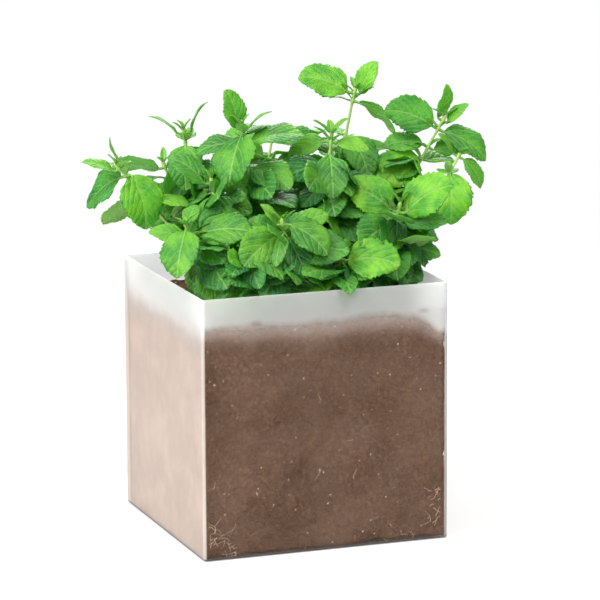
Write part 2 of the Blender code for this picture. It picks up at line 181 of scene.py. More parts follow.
class Batch:
    """Points, faces and point values gathered into one mesh."""

    def __init__(self):
        self.points = []
        self.faces = []
        self.values = {"along": [], "side": [], "tone": [], "young": [], "under": []}
        self.count = 0

    def add(self, points, faces, **values):
        """Adds points and faces. Each value is one number or one for each point."""
        points = np.asarray(points, float).reshape(-1, 3)
        self.points.append(points)
        self.faces.extend([tuple(int(i) + self.count for i in f) for f in faces])
        for name, held in self.values.items():
            given = values.get(name, 0.0)
            held.append(np.broadcast_to(np.asarray(given, float), (len(points),)))
        self.count += len(points)

    def build(self, name, material):
        """The mesh object, with its values as point attributes."""
        mesh = bpy.data.meshes.new(name)
        mesh.from_pydata(np.concatenate(self.points).tolist(), [], self.faces)
        mesh.validate()
        for key, held in self.values.items():
            layer = mesh.attributes.new(key, "FLOAT", "POINT")
            layer.data.foreach_set("value", np.concatenate(held).astype(np.float32))
        return smooth_object(name, mesh, material)


def smooth_object(name, mesh, material):
    """An object in the scene that shows the mesh with smooth faces in one material."""
    mesh.polygons.foreach_set("use_smooth", [True] * len(mesh.polygons))
    mesh.materials.append(material)
    obj = bpy.data.objects.new(name, mesh)
    bpy.context.scene.collection.objects.link(obj)
    return obj


def tube(batch, line, radii, sides=10, square=0.0, **values):
    """A closed tube along a line. square above 0 makes its section a rounded square."""
    line = np.asarray(line, float)
    radii = np.broadcast_to(np.asarray(radii, float), (len(line),))
    heading = unit(np.gradient(line, axis=0))
    side = unit(np.cross(heading[0], UP if abs(heading[0][2]) < 0.9 else ACROSS))
    angles = np.arange(sides) * 2 * math.pi / sides
    stretch = 1 + square * np.cos(4 * angles)
    rings = []
    for place, ahead, radius in zip(line, heading, radii):
        side = unit(side - ahead * np.dot(side, ahead))
        other = np.cross(ahead, side)
        ring = np.outer(np.cos(angles) * stretch, side) + np.outer(np.sin(angles) * stretch, other)
        rings.append(place + ring * radius)
    faces = []
    for r in range(len(line) - 1):
        for s in range(sides):
            t = (s + 1) % sides
            low, high = r * sides, (r + 1) * sides
            faces.append((low + s, low + t, high + t, high + s))
    faces.append(tuple(range(sides))[::-1])
    faces.append(tuple((len(line) - 1) * sides + s for s in range(sides)))
    batch.add(np.concatenate(rings), faces, **values)


# ---------------------------------------------------------------- shader helpers


class Nodes:
    """A short way to write a material's node tree."""

    def __init__(self, name):
        self.material = bpy.data.materials.new(name)
        self.material.use_nodes = True
        self.tree = self.material.node_tree
        self.tree.nodes.clear()
        self.out = self.tree.nodes.new("ShaderNodeOutputMaterial")

    def new(self, kind, inputs=None, **settings):
        """A node with its settings, whose inputs are values or other sockets."""
        node = self.tree.nodes.new("ShaderNode" + kind)
        for key, value in settings.items():
            setattr(node, key, value)
        for key, value in (inputs or {}).items():
            self.put(node.inputs[key], value)
        return node

    def put(self, socket, value):
        """Links the value to the socket if it is a socket too, or else sets it."""
        if isinstance(value, bpy.types.NodeSocket):
            self.tree.links.new(value, socket)
        elif isinstance(value, (tuple, list)) and len(value) == 3 and socket.type == "RGBA":
            socket.default_value = (*value, 1.0)
        else:
            socket.default_value = value

    def math(self, how, *values, clamp=False):
        """One step of arithmetic."""
        node = self.tree.nodes.new("ShaderNodeMath")
        node.operation = how
        node.use_clamp = clamp
        for socket, value in zip(node.inputs, values):
            self.put(socket, value)
        return node.outputs[0]

    # The steps that are used most, by their own names.

    def plus(self, a, b):
        return self.math("ADD", a, b)

    def minus(self, a, b):
        return self.math("SUBTRACT", a, b)

    def times(self, a, b):
        return self.math("MULTIPLY", a, b)

    def most(self, a, b):
        return self.math("MAXIMUM", a, b)

    def ramp(self, value, low, high, start=0.0, end=1.0):
        """A smooth step of value from low to high, running from start to end."""
        node = self.tree.nodes.new("ShaderNodeMapRange")
        node.interpolation_type = "SMOOTHSTEP"
        keys = ("Value", "From Min", "From Max", "To Min", "To Max")
        for key, given in zip(keys, (value, low, high, start, end)):
            self.put(node.inputs[key], given)
        return node.outputs[0]

    def mix(self, share, a, b):
        """A colour mix from a at share 0 to b at share 1."""
        node = self.tree.nodes.new("ShaderNodeMix")
        node.data_type = "RGBA"
        self.put(node.inputs[0], share)
        self.put(node.inputs[6], a)
        self.put(node.inputs[7], b)
        return node.outputs[2]

    def value(self, name):
        """A point value of the mesh, which its Batch gave it."""
        return self.new("Attribute", attribute_name=name).outputs["Fac"]

    def place(self, scale=(1.0, 1.0, 1.0)):
        """The object's own coordinates, stretched."""
        where = self.new("TexCoord").outputs["Object"]
        return self.new("Mapping", {"Vector": where, "Scale": scale}).outputs[0]

    def noise(self, where, scale, detail=3.0, rough=0.5):
        """Soft noise between 0 and 1."""
        inputs = {"Vector": where, "Scale": scale, "Detail": detail, "Roughness": rough}
        return self.new("TexNoise", inputs).outputs["Fac"]

    def finish(self, shader):
        """The material, with this shader as its surface."""
        self.tree.links.new(shader, self.out.inputs["Surface"])
        return self.material


# ---------------------------------------------------------------- materials


def leaf_material():
    """Mint leaf: curved side veins, a fine net, patches of green and a pale underside."""
    n = Nodes("mint_leaf")
    along, side = n.value("along"), n.value("side")
    tone, young, under = n.value("tone"), n.value("young"), n.value("under")
    where = n.place()

    # Veins: side and along count in blade lengths, so that veins and relief match the mesh.
    away = n.math("ABSOLUTE", side)
    bend = n.times(n.times(away, away), VEIN_CURVE)
    slant = n.plus(n.times(away, VEIN_SLANT), bend)
    warp = n.times(n.minus(n.noise(where, 150.0, 2.0, 0.5), 0.5), 0.7)
    phase = n.plus(n.times(n.minus(along, slant), VEINS), warp)
    lateral = n.math("PINGPONG", n.plus(phase, 20.0), 0.5)
    lateral_vein = n.times(n.ramp(lateral, 0.13, 0.02), n.ramp(away, 0.42, 0.22))
    midrib = n.ramp(away, 0.030, 0.008)
    veins = n.most(n.times(lateral_vein, 0.85), midrib)
    cells = n.new("TexVoronoi", {"Vector": where, "Scale": 560.0}, feature="DISTANCE_TO_EDGE")
    cell_edge = cells.outputs["Distance"]

    # Greens: each mix by tone runs from a cool green to a lime one.
    young_green = (0.240, 0.520, 0.036)
    net_green = (0.200, 0.480, 0.080)
    vein_green = (0.330, 0.600, 0.160)
    patch = n.noise(where, 90.0, 3.0, 0.6)
    deep = n.mix(tone, (0.003, 0.066, 0.034), (0.058, 0.265, 0.018))
    bright = n.mix(tone, (0.012, 0.175, 0.042), (0.255, 0.580, 0.026))
    upper = n.mix(n.ramp(patch, 0.36, 0.64), deep, bright)
    upper = n.mix(n.times(young, 0.60), upper, young_green)
    net = n.times(n.ramp(cell_edge, 0.13, 0.01), n.minus(0.24, n.times(young, 0.18)))
    upper = n.mix(net, upper, net_green)
    upper = n.mix(n.times(veins, 0.52), upper, vein_green)
    pale = n.mix(tone, (0.200, 0.430, 0.110), (0.360, 0.570, 0.180))
    pale = n.mix(n.times(veins, 0.6), pale, (0.560, 0.720, 0.330))
    colour = n.mix(under, upper, pale)
    through = n.mix(n.times(veins, 0.6), (0.250, 0.720, 0.022), (0.170, 0.440, 0.040))

    # Quilting: each cell of the net swells, and the veins are sunk.
    swell = n.times(n.ramp(lateral, 0.0, 0.5), 0.40)
    quilt = n.plus(n.times(n.ramp(cell_edge, 0.0, 0.4), 0.55), swell)
    strength = n.minus(0.42, n.times(young, 0.34))
    height = n.minus(quilt, veins)
    bump = n.new("Bump", {"Strength": strength, "Distance": 0.0006, "Height": height}).outputs[0]
    leaf = n.new(
        "BsdfPrincipled",
        {"Base Color": colour, "Roughness": 0.44, "Specular IOR Level": 0.34, "Normal": bump},
    )
    glow = n.new("BsdfTranslucent", {"Color": through, "Normal": bump})
    both = n.new("MixShader", {0: 0.45, 1: leaf.outputs[0], 2: glow.outputs[0]})
    return n.finish(both.outputs[0])


def stem_material():
    """Mint stem: green with purple-brown streaks, and a fresh green towards its tip."""
    n = Nodes("mint_stem")
    purple_brown, fresh_green = (0.230, 0.130, 0.090), (0.300, 0.500, 0.085)
    streak = n.noise(n.place((1.0, 1.0, 0.35)), 260.0, 3.0, 0.6)
    colour = n.mix(n.value("tone"), (0.130, 0.290, 0.040), (0.290, 0.450, 0.100))
    colour = n.mix(n.times(n.ramp(streak, 0.5, 0.72), 0.45), colour, purple_brown)
    colour = n.mix(n.value("young"), colour, fresh_green)
    bump = n.new("Bump", {"Strength": 0.3, "Distance": 0.0003, "Height": streak}).outputs[0]
    stem = n.new("BsdfPrincipled", {"Base Color": colour, "Roughness": 0.45, "Normal": bump})
    return n.finish(stem.outputs[0])


def soil_material():
    """Potting soil: dark brown crumbs with painted shade between them and a few pale specks."""
    n = Nodes("potting_soil")
    painted_crevice_shade, pale_speck = (0.030, 0.014, 0.008), (0.520, 0.400, 0.300)
    where = n.place()
    crumbs = n.new("TexVoronoi", {"Vector": where, "Scale": 420.0}).outputs["Distance"]
    fine = n.noise(where, 900.0, 4.0, 0.65)
    broad = n.noise(where, 34.0, 3.0, 0.55)
    dark = n.mix(n.ramp(fine, 0.3, 0.7), (0.060, 0.031, 0.017), (0.124, 0.066, 0.038))
    light = n.mix(n.ramp(fine, 0.3, 0.7), (0.084, 0.045, 0.026), (0.160, 0.090, 0.055))
    colour = n.mix(n.ramp(broad, 0.35, 0.7), dark, light)
    # Painted shade: the edges of the crumb cells darken towards near black, where shade would fall
    # between crumbs.
    colour = n.mix(n.ramp(crumbs, 0.25, 0.6, 0.0, 0.25), colour, painted_crevice_shade)
    speck = n.noise(where, 520.0, 1.0, 0.4)
    colour = n.mix(n.ramp(speck, 0.735, 0.775, 0.0, 0.7), colour, pale_speck)
    bump = n.new("Bump", {"Strength": 0.5, "Distance": 0.0010, "Height": fine}).outputs[0]
    soil = n.new(
        "BsdfPrincipled",
        {"Base Color": colour, "Roughness": 0.92, "Specular IOR Level": 0.15, "Normal": bump},
    )
    return n.finish(soil.outputs[0])


def fibre_material():
    """Root fibre: brown to straw, by its tone."""
    n = Nodes("root_fibre")
    colour = n.mix(n.value("tone"), (0.160, 0.090, 0.050), (0.560, 0.400, 0.280))
    fibre = n.new("BsdfPrincipled", {"Base Color": colour, "Roughness": 0.8})
    return n.finish(fibre.outputs[0])


def plastic_material():
    """Frosted plastic: mostly clear against the soil, milky above it, with painted light and shade on
    its left side, corners, posts and base edge.
    """
    n = Nodes("frosted_plastic")
    where = n.place()
    x, y, z = n.new("SeparateXYZ", {"Vector": where}).outputs
    soil_top = SOIL_HIGH.z

    # Which wall a point is in: the outer 0.9 mm of each wall counts fully.
    full, none = 0.0009, 0.0016
    left = n.ramp(x, POT_LOW.x + none, POT_LOW.x + full)
    front = n.ramp(y, POT_LOW.y + none, POT_LOW.y + full)
    far_right = n.ramp(x, POT_HIGH.x - none, POT_HIGH.x - full)
    far = n.most(far_right, n.ramp(y, POT_HIGH.y - none, POT_HIGH.y - full))
    right_end = n.times(n.ramp(x, POT_HIGH.x - 0.024, POT_HIGH.x - 0.002), front)

    # The milky band above the soil. Its edge wanders and hangs lower at the left and the right end.
    wobble = n.times(n.minus(n.noise(where, 42.0, 4.0, 0.6), 0.5), 0.0075)
    droop = n.times(n.math("POWER", right_end, 3.0), 0.0080)
    level = n.plus(n.plus(z, wobble), droop)
    band_start = n.minus(soil_top - 0.0058, n.times(left, 0.012))
    band = n.ramp(level, band_start, soil_top + 0.0020)
    soil_top_blur_and_glow = n.math("POWER", n.ramp(level, soil_top - 0.0160, soil_top - 0.0020), 2.0)
    band_milk_and_glow = n.plus(0.545, n.times(n.most(n.times(left, 1.3), far), 0.25))
    # Painted light: the band is milkier towards the right end, which shows brighter where no leaves
    # stand behind it.
    band_milk_and_glow = n.plus(band_milk_and_glow, n.times(right_end, 0.40))

    # Edges, painted light and shade: a painted highlight down each upright corner, a painted contact
    # shadow along the base, and painted shade in two posts, the front-right one and the back-left one,
    # behind which no soil stands.
    highlight_x = n.ramp(n.math("ABSOLUTE", x), POT_HIGH.x - 0.0020, POT_HIGH.x)
    highlight_y = n.ramp(n.math("ABSOLUTE", y), POT_HIGH.y - 0.0024, POT_HIGH.y - 0.0004)
    painted_corner_highlight = n.times(highlight_x, highlight_y)
    painted_contact_shadow = n.ramp(z, 0.0016, 0.0008)
    painted_shade_right_post = n.times(n.ramp(x, POT_HIGH.x - 0.0026, POT_HIGH.x - 0.0012), front)
    painted_shade_left_post = n.times(n.ramp(y, POT_HIGH.y - 0.0110, POT_HIGH.y - 0.0030), left)
    painted_shade_posts = n.most(n.times(painted_shade_right_post, 0.85), n.times(painted_shade_left_post, 0.93))

    # Haze is the share of milky plastic in the wall.
    cloud = n.noise(where, 60.0, 4.0, 0.6)
    streaks = n.noise(n.place((1.0, 1.0, 0.05)), 700.0, 2.0, 0.5)
    scratches = n.times(n.ramp(streaks, 0.64, 0.78, 0.0, 0.06), n.minus(1.0, left))
    foot = n.ramp(level, 0.0040, 0.0012)
    haze = n.plus(0.025, n.times(n.ramp(cloud, 0.30, 0.72), 0.065))
    # Painted light: the left wall gets extra haze, so with its pale tint the side lit from the left
    # looks lighter.
    haze = n.plus(haze, n.times(left, 0.34))
    haze = n.plus(haze, n.times(far, 0.06))
    haze = n.plus(haze, scratches)
    # Just below the band the wall turns milkier, for the soil's top edge blurred by the frosting.
    haze = n.plus(haze, n.times(soil_top_blur_and_glow, 0.20))
    haze = n.plus(haze, n.times(x, 0.16))
    haze = n.most(haze, n.times(band, band_milk_and_glow))
    haze = n.most(haze, n.times(n.times(foot, left), 0.30))
    # Painted highlight at the corners, painted shade in the posts and a painted contact shadow along the
    # base.
    haze = n.plus(haze, n.times(painted_corner_highlight, 0.12))
    haze = n.math("MAXIMUM", haze, painted_shade_posts, clamp=True)
    haze = n.most(haze, n.times(painted_contact_shadow, 0.6))

    # The milky plastic's colour: warm where soil shows behind it, paler on the left wall as painted
    # light, and white in the band.
    soil_tint_with_painted_light = n.mix(left, (0.56, 0.39, 0.30), (0.96, 0.82, 0.73))
    # Painted light: below the band the tint pales, as if light from the band fell on the soil's top
    # edge.
    soil_tint_with_painted_light = n.mix(n.times(soil_top_blur_and_glow, 0.8), soil_tint_with_painted_light, (0.94, 0.80, 0.71))
    # Painted shade: the band's white is greyer on the left wall and greyer still on the far walls.
    white = n.mix(left, (0.98, 0.98, 0.97), (0.92, 0.92, 0.91))
    white = n.mix(far, white, (0.78, 0.785, 0.79))
    # Painted highlight: the corners turn towards white.
    tint = n.mix(n.most(band, n.times(painted_corner_highlight, 0.6)), soil_tint_with_painted_light, white)
    # Painted shade: the front-right post is a dark brown-grey beside the soil and a light grey in the
    # band; the back-left post is a dim warm grey.
    tint = n.mix(painted_shade_right_post, tint, n.mix(band, (0.34, 0.31, 0.29), (0.84, 0.85, 0.86)))
    tint = n.mix(painted_shade_left_post, tint, n.mix(band, (0.60, 0.50, 0.44), (0.80, 0.79, 0.78)))
    # Painted contact shadow: the base edge turns near black.
    tint = n.mix(painted_contact_shadow, tint, (0.16, 0.14, 0.13))

    skin = n.new("BsdfPrincipled", {"Base Color": tint, "Roughness": 0.38, "Specular IOR Level": 0.4})
    glow = n.new("BsdfTranslucent", {"Color": tint})
    glow_share = n.plus(0.42, n.times(band, 0.22))
    milk = n.new("MixShader", {0: glow_share, 1: skin.outputs[0], 2: glow.outputs[0]})
    clear = n.new("BsdfTransparent", {"Color": (0.985, 0.985, 0.985)})
    wall = n.new("MixShader", {0: haze, 1: clear.outputs[0], 2: milk.outputs[0]})
    return n.finish(wall.outputs[0])


# ---------------------------------------------------------------- leaf blades


def outline(share):
    """The blade's half width along it, 1 at its widest."""
    base_power, tip_power = 0.52, 0.70
    widest = base_power / (base_power + tip_power)
    share = np.clip(share, 0.0, 1.0)
    most = widest ** base_power * (1 - widest) ** tip_power
    return share ** base_power * (1 - share) ** tip_power / most


def serration(u, s, teeth, half_width):
    """How far a blade's edge stands out: teeth that rise slowly towards the tip and fall fast."""
    rise, fall, depth = 0.72, 0.28, 0.085
    drift = 0.22 * np.sin(u * 23 + np.sign(s) * 1.3 + half_width * 900)
    saw = (u * teeth + 0.15 + drift) % 1.0
    saw = np.where(saw < rise, saw / rise, (1 - saw) / fall)
    fade = np.clip((u - 0.06) / 0.12, 0, 1) * np.clip((1.02 - u) / 0.15, 0, 1)
    return depth * fade * (saw - 0.55)


def relief(u, s, y, width, half_width, length, fold, rng):
    """How far a blade stands over its midrib: folded, wavy, leaning, quilted and rippled."""
    edge_drop, edge_wave, most_lean = 0.16, 0.075, 0.05
    quilt, groove, ripple = 0.00036, 0.00035, 0.00010
    size = length / FULL_LEAF
    out = np.abs(s)
    left_wave, right_wave = rng.uniform(0, 6.28), rng.uniform(0, 6.28)
    wave = np.where(s < 0, np.sin(u * 11 + left_wave), np.sin(u * 11 + right_wave))
    lean = rng.uniform(-most_lean, most_lean)
    bowl = fold * out ** 1.3 - edge_drop * out ** 3.5
    lift = width * bowl + edge_wave * half_width * wave * out ** 2
    lift += lean * y
    away = np.abs(y) / length
    phase = (u - VEIN_SLANT * away - VEIN_CURVE * away ** 2) * VEINS
    between = np.abs(np.sin(math.pi * phase))
    swell = np.clip(out / 0.25, 0, 1) * np.clip((1 - out) / 0.25, 0, 1)
    fade = np.clip(u / 0.06, 0, 1) * np.clip((1 - u) / 0.12, 0, 1)
    lift += quilt * size * (between ** 0.7 - 0.5) * swell * fade
    lift += groove * size * np.clip(out / 0.12, 0, 1) * fade
    spot = rng.uniform(0, 50)
    ripples = np.sin(u * 37 + spot) * np.sin(y / length * 61 + spot * 2)
    lift += ripple * size * ripples * fade * (1 - out ** 4)
    return lift


def sheet_faces(rows, columns):
    """The faces of a closed sheet, and which places are off its edge and so have one below."""
    top = np.arange(rows * columns).reshape(rows, columns)
    inner = np.ones((rows, columns), bool)
    inner[0, :] = inner[-1, :] = False
    inner[:, 0] = inner[:, -1] = False
    low = top.copy()
    low[inner] = rows * columns + np.arange(int(inner.sum()))
    cells = [(i, j) for i in range(rows - 1) for j in range(columns - 1)]
    faces = [(top[i, j], top[i, j + 1], top[i + 1, j + 1], top[i + 1, j]) for i, j in cells]
    faces += [(low[i, j], low[i + 1, j], low[i + 1, j + 1], low[i, j + 1]) for i, j in cells]
    return faces, inner


def blade(batch, centres, normals, half_width, rng, young, tone, fold, fine=True):
    """One leaf blade from its base to its tip: a thin closed sheet with teeth, veins and quilting.

    centres and normals are the midrib's places and upper directions at BLADE_SHARES.
    """
    teeth = TEETH if half_width > FEW_TEETH_BELOW else FEW_TEETH
    rows = teeth * (ROWS_PER_TOOTH if fine else PLAIN_ROWS_PER_TOOTH) + 1
    columns = 2 * (HALF_COLUMNS if fine else PLAIN_HALF_COLUMNS) + 1
    share = np.linspace(0.0, 1.0, rows)
    middle = smooth_through(BLADE_SHARES, centres, share)
    upper = unit(smooth_through(BLADE_SHARES, normals, share))
    heading = unit(np.gradient(middle, axis=0))
    across = unit(np.cross(heading, upper))
    upper = np.cross(across, heading)
    length = float(np.linalg.norm(np.diff(middle, axis=0), axis=1).sum())
    size = length / FULL_LEAF

    # u runs from base to tip, and s from the left edge at -1 to the right one at 1.
    v = np.linspace(-1.0, 1.0, columns)
    v = np.sign(v) * np.abs(v) ** 0.92
    u, s = np.meshgrid(share, v, indexing="ij")
    tooth = serration(u, s, teeth, half_width)
    at_edge = np.abs(s) ** 5
    width = np.maximum(half_width * outline(u), 0.0004)
    width = width * (1 + tooth * at_edge) + 0.25 * half_width * tooth * at_edge
    y = s * width
    lift = relief(u, s, y, width, half_width, length, fold, rng)
    forward = tooth * at_edge * 0.35 * half_width
    top = (
        middle[:, None, :]
        + across[:, None, :] * y[..., None]
        + upper[:, None, :] * lift[..., None]
        + heading[:, None, :] * forward[..., None]
    )
    thick = BLADE_THICKNESS * (0.4 + 0.6 * size)
    rib_depth, rib_width = 0.00055 * size, 0.00065 * size + 1e-9
    rib = rib_depth * np.exp(-((y / rib_width) ** 2)) * (1 - u) ** 0.7
    low = top - upper[:, None, :] * (thick + rib)[..., None]
    tone = rng.random() if tone is None else tone
    side = y / length
    faces, inner = sheet_faces(rows, columns)
    batch.add(
        np.concatenate([top.reshape(-1, 3), low[inner]]),
        faces,
        along=np.concatenate([u.ravel(), u[inner]]),
        side=np.concatenate([side.ravel(), side[inner]]),
        tone=tone,
        young=young,
        under=np.concatenate([np.zeros(rows * columns), np.ones(int(inner.sum()))]),
    )


def leaf_line(base, level, rise, length, curl, roll, petiole):
    """The end of a leaf's petiole, and its midrib's places and upper directions.

    level is its level direction, rise the angle it starts at, curl how far it bends down, roll its
    turn about the midrib and petiole the petiole's share of its length.
    """
    steps = 40
    level = unit(np.array([level[0], level[1], 0.0]))
    first = level * math.cos(rise) + UP * math.sin(rise)
    foot = np.asarray(base, float) + first * length * petiole
    run = length * (1 - petiole)
    angles = rise - curl * np.linspace(0, 1, steps + 1) ** 1.3
    ahead = level * np.cos(angles)[:, None] + UP * np.sin(angles)[:, None]
    moved = np.cumsum((ahead[1:] + ahead[:-1]) / 2, axis=0) * run / steps
    line = foot + np.concatenate([np.zeros((1, 3)), moved])
    up = UP * np.cos(angles)[:, None] - level * np.sin(angles)[:, None]
    normals = up * math.cos(roll) + np.cross(ahead, up) * math.sin(roll)
    pick = [int(round(s * steps)) for s in BLADE_SHARES]
    return foot, line[pick], normals[pick]


def grown_leaf(batch, base, level, rise, length, rng, curl=0.75, roll=0.0, broad=0.62,
               young=0.0, tone=None, fold=0.22, petiole=0.12):
    """A leaf that grows from base, with its petiole. broad is its width as a share of its length."""
    foot, line, normals = leaf_line(base, level, rise, length, curl, roll, petiole)
    thick = 0.00042 * (0.4 + 0.6 * length / FULL_LEAF)
    tube(batch, np.linspace(np.asarray(base, float), foot, 4), thick, sides=6, young=young, tone=0.8)
    half_width = length * (1 - petiole) * broad / 2
    blade(batch, line, normals, half_width, rng, young, tone, fold, fine=False)


# ---------------------------------------------------------------- what the CAD model says


def pairs_of(shoot):
    """The names of a shoot's CAD leaf pairs."""
    start = "leaf_pair_" + shoot + "_"
    return sorted(n for n in NODES if n.startswith(start) and n[len(start):].isdigit())


def read_pair(name):
    """A CAD leaf pair: its clasp's middle and its two leaves.

    Each leaf is its petiole's start and end, its midrib's places and upper directions and its half
    width. From one tip to the other a pair is a point, four-cornered rings and a point again.
    """
    rows = len(BLADE_SHARES) - 2
    leaf_rings = rows + 3
    places, near = merged(NODES[name])
    for first in [i for i, n in enumerate(near) if len(n) == 4]:
        rings = layers(near, [first])
        enough = len(rings) > 2 * leaf_rings and len(rings[-1]) == 1
        if enough and all(len(r) == 4 for r in rings[1:-1]):
            break
    clasp = places[sorted({i for ring in rings[leaf_rings:-leaf_rings] for i in ring})].mean(axis=0)
    leaves = []
    for run in (rings, rings[::-1]):
        tip = places[run[0][0]]
        centres, normals, widths = [], [], []
        for ring in run[1:rows + 1][::-1]:
            corners = places[ring]
            gaps = np.linalg.norm(corners[:, None] - corners[None], axis=2)
            a, b = np.unravel_index(np.argmax(gaps), gaps.shape)
            rest = [k for k in range(4) if k not in (a, b)]
            middle = corners[rest].mean(axis=0)
            centres.append(middle)
            normals.append(unit((corners[a] + corners[b]) / 2 - middle))
            widths.append(gaps[a, b] / 2)
        end = places[run[rows + 1]].mean(axis=0)
        start = places[run[rows + 2]].mean(axis=0)
        centres = np.array([end] + centres + [tip])
        normals = np.array([normals[0]] + normals + [normals[-1]])
        half_width = max(w / outline(np.array(s)) for w, s in zip(widths, BLADE_SHARES[1:-1]))
        leaves.append((start, end, centres, normals, float(half_width)))
    return clasp, leaves


def stem_of(name):
    """The centre line and radii of a CAD stem, from its foot up."""
    places, near = merged(NODES[name])
    lowest = np.argsort(places[:, 2])[:4]
    rings = layers(near, [int(i) for i in lowest])
    line = np.array([places[r].mean(axis=0) for r in rings])
    radii = [np.linalg.norm(places[r] - places[r].mean(axis=0), axis=1).mean() for r in rings]
    return line, np.array(radii)


def nearest_share(line, point):
    """How far along the line, by its own length, the nearest place to point is, and that place."""
    run = line_lengths(line)
    fine = np.linspace(0, run[-1], 400)
    spots = np.stack([np.interp(fine, run, line[:, k]) for k in range(3)], axis=1)
    best = int(np.argmin(np.linalg.norm(spots - point, axis=1)))
    return fine[best] / run[-1], spots[best]


def along_line(line, share):
    """The place and heading at a share of the line's length."""
    run = line_lengths(line)
    at = np.clip(share, 0, 1) * run[-1]
    step = 0.002
    here = np.array([np.interp(at, run, line[:, k]) for k in range(3)])
    low = np.array([np.interp(max(at - step, 0), run, line[:, k]) for k in range(3)])
    high = np.array([np.interp(min(at + step, run[-1]), run, line[:, k]) for k in range(3)])
    return here, unit(high - low)


# ---------------------------------------------------------------- plant


class Placed:
    """Where blades already are, so that a new one finds room."""

    def __init__(self):
        self.spots = []

    def add(self, centres):
        """Notes three spots along a blade's midrib."""
        self.spots.extend(centres[MARKED])

    def room(self, centres):
        """How far a blade's own three spots are, on average, from the nearest noted ones."""
        gaps = np.linalg.norm(centres[MARKED][:, None] - np.array(self.spots)[None], axis=2)
        return float(gaps.min(axis=1).mean())


MARKED = [1, 4, -2]
PLACED = Placed()


def build_pair(name, leaves, spot, rng, material):
    """The fine leaves that stand for one CAD leaf pair."""
    batch = Batch()
    for start, end, centres, normals, half_width in leaves:
        length = float(np.linalg.norm(np.diff(centres, axis=0), axis=1).sum())
        young = min(1.0, max(0.0, (GROWN_LEAF - length) / YOUNG_RANGE))
        centres = np.concatenate([[(start + centres[0]) / 2], centres[1:]])
        tone = LIME_PAIRS.get(name.removeprefix("leaf_pair_"), rng.uniform(0.05, 0.80))
        blade(batch, centres, normals, half_width * BLADE_BROADER, rng, young, tone, fold=0.19)
        size = min(1.0, 0.35 + 0.65 * length / FULL_PETIOLE_LEAF)
        petiole = np.array([spot, start, (start + end) / 2, end, centres[2]])
        fine = np.linspace(0, 4, 13)
        thick = np.interp(fine, [0, 1, 3, 4], PETIOLE_RADII) * size
        tube(batch, smooth_through(range(5), petiole, fine), thick, sides=8, young=young, tone=0.8)
    piece = batch.build(name.replace("leaf_pair", "leaves"), material)
    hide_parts(name)
    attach(piece, "root")


def build_stem(shoot, line, radii, shares, rng, material):
    """The fine stem that stands for a CAD stem, a little swollen where leaves grow."""
    sides, step = 12, 0.0012
    swelling, swelling_reach = 0.00045, 0.0013
    run = line_lengths(line)
    total = run[-1]
    fine = np.linspace(0, total, max(30, int(total / step)))
    thick = STEM_THINNER * np.interp(fine, run, radii)
    for share in shares:
        thick = thick + swelling * np.exp(-(((fine - share * total) / swelling_reach) ** 2))
    young = np.repeat(np.clip((fine / total - 0.75) * 3, 0, 1), sides)
    tone = rng.random() * 0.8
    batch = Batch()
    tube(batch, smooth_through(run, line, fine), thick, sides=sides, square=0.06, tone=tone, young=young)
    piece = batch.build("stalk_" + shoot, material)
    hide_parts("stem_" + shoot)
    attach(piece, "root")


def inside_plant(places):
    """Whether a leaf's places stay in the plant's own room and clear of the pot's wall and soil."""
    for x, y, z in places:
        if z < POT_HIGH.z + RIM_CLEARANCE and (abs(x) > WALL_X or abs(y) > WALL_Y):
            return False
        if not (ROOM_X[0] < x < ROOM_X[1] and ROOM_Y[0] < y < ROOM_Y[1]):
            return False
        if z < SOIL_HIGH.z + SOIL_CLEARANCE or z > ROOM_TOP + ROOM_TOP_RISE * max(0.0, x):
            return False
        low_left = LOW_LEFT_IN_FRONT if y < IN_FRONT_Y else LOW_LEFT
        if z < POT_HIGH.z + LOW_ROOM and x < low_left:
            return False
    return True


def fill_leaf(batch, line, share, lengths, rng):
    """One more leaf on a stem, where there is room and its face looks out of the plant."""
    spread, height = np.array([0.7, 1.3, 0.0]), np.array([0.0, 0.0, 0.020])
    spot, _ = along_line(line, share)
    best, best_score = None, -1.0
    for _ in range(LEAF_TRIES):
        level = level_way(rng.uniform(0, 2 * math.pi))
        length = rng.uniform(*lengths)
        rise = rng.uniform(-1.20, 0.45)
        curl = rng.uniform(0.1, 0.7)
        roll = rng.uniform(-1.1, 1.1)
        _, centres, normals = leaf_line(spot, level, rise, length, curl, roll, SMALL_PETIOLE)
        if not inside_plant(centres[1:]):
            continue
        room = PLACED.room(centres)
        out = unit(centres[4] * spread + height)
        score = room + FACING_WORTH * float(np.dot(normals[4], out))
        if room > LEAST_ROOM and score > best_score:
            best, best_score = (level, rise, length, curl, roll, centres), score
    if best is None:
        return
    level, rise, length, curl, roll, centres = best
    tone = 1.0 if rng.random() < LIME_SHARE else 0.6 * rng.random()
    grown_leaf(batch, spot, level, rise, length, rng, curl=curl, roll=roll,
               broad=rng.uniform(0.70, 0.84), tone=tone, petiole=SMALL_PETIOLE, fold=0.14)
    PLACED.add(centres)


def wall_leaves(batch, line, rng):
    """The low leaves of a front shoot, which press close behind the pot's front wall."""
    tries, front_shoot_y = 10, -0.030
    side_limit, front_limit, lowest = 0.055, -0.0572, SOIL_HIGH.z - 0.0005
    for _ in range(tries):
        spot, _ = along_line(line, rng.uniform(0.30, 0.55))
        if spot[1] > front_shoot_y:
            return
        level = level_way(rng.uniform(-2.7, -0.4))
        length = rng.uniform(0.012, 0.019)
        rise, curl = rng.uniform(-0.5, 0.3), rng.uniform(0.2, 0.6)
        _, centres, _ = leaf_line(spot, level, rise, length, curl, 0.0, SMALL_PETIOLE)
        if all(abs(x) < side_limit and y > front_limit and z > lowest for x, y, z in centres):
            grown_leaf(batch, spot, level, rise, length, rng, curl=curl, broad=0.72,
                       tone=rng.random() * 0.7, petiole=SMALL_PETIOLE)
            PLACED.add(centres)


